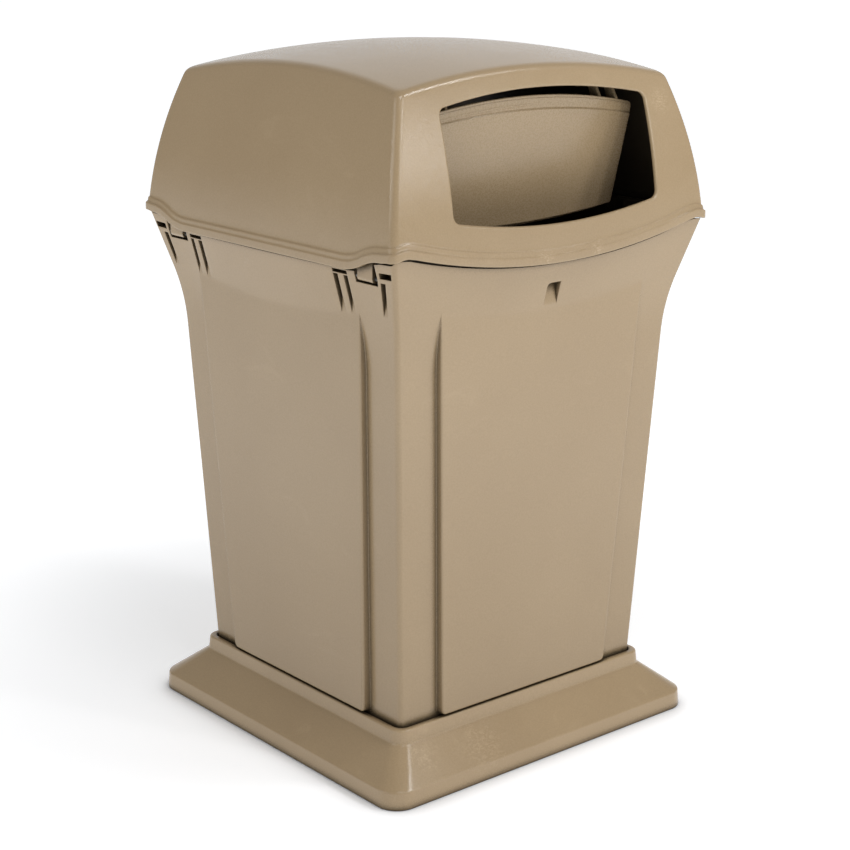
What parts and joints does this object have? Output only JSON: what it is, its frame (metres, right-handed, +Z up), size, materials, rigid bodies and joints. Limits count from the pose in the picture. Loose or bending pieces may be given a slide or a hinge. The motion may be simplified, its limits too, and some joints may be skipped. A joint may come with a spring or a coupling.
{
  "type": "trash can",
  "caption": "Square tapered waste container on a sloped pedestal base, with a side-hinged domed hood whose front and rear openings are closed by hanging swing doors.",
  "frame": {"origin": "centre of the pedestal's footprint, on the floor", "axes": "+Z up, -Y towards the front door, -X towards the side where the hood is hinged"},
  "size_m": [0.634, 0.634, 1.0855],
  "materials": {
    "moulded_plastic": "satin moulded beige with a fine grain",
    "bracket_plastic": "moulded beige, unpolished",
    "zinc_steel": "zinc plated",
    "bush_plastic": "plain off-white"
  },
  "bodies": {
    "container": {"pedestal_base": "moulded_plastic", "container_shell": "moulded_plastic", "base_bolts": "zinc_steel", "base_washers": "zinc_steel", "hood_hinge_pin_front": "zinc_steel", "hood_hinge_pin_rear": "zinc_steel"},
    "hood": {"hood_shell": "moulded_plastic", "hinge_tongue_front": "moulded_plastic", "hinge_tongue_rear": "moulded_plastic", "locating_tongue_front": "moulded_plastic", "locating_tongue_rear": "moulded_plastic", "hinge_tongue_screws": "zinc_steel", "locating_tongue_screws": "zinc_steel", "front_door_bracket_left": "bracket_plastic", "front_door_bracket_right": "bracket_plastic", "rear_door_bracket_left": "bracket_plastic", "rear_door_bracket_right": "bracket_plastic", "door_bracket_screws": "zinc_steel", "front_door_bushes": "bush_plastic", "rear_door_bushes": "bush_plastic"},
    "front_door": {"front_door_panel": "moulded_plastic", "front_door_pin_left": "zinc_steel", "front_door_pin_right": "zinc_steel", "front_door_pin_clips": "zinc_steel"},
    "rear_door": {"rear_door_panel": "moulded_plastic", "rear_door_pin_left": "zinc_steel", "rear_door_pin_right": "zinc_steel", "rear_door_pin_clips": "zinc_steel"}
  },
  "joints": [
    {"name": "hood_hinge", "type": "hinge", "parent": "container", "child": "hood", "pos_m": [-0.2975, 0, 0.7845], "axis": [0, -1, 0], "range_deg": [0, 100]},
    {"name": "front_door_swing", "type": "hinge", "parent": "hood", "child": "front_door", "pos_m": [0, -0.2127, 1.03], "axis": [1, 0, 0], "range_deg": [-20, 60]},
    {"name": "rear_door_swing", "type": "hinge", "parent": "hood", "child": "rear_door", "pos_m": [0, 0.2127, 1.03], "axis": [-1, 0, 0], "range_deg": [-20, 60]}
  ]
}
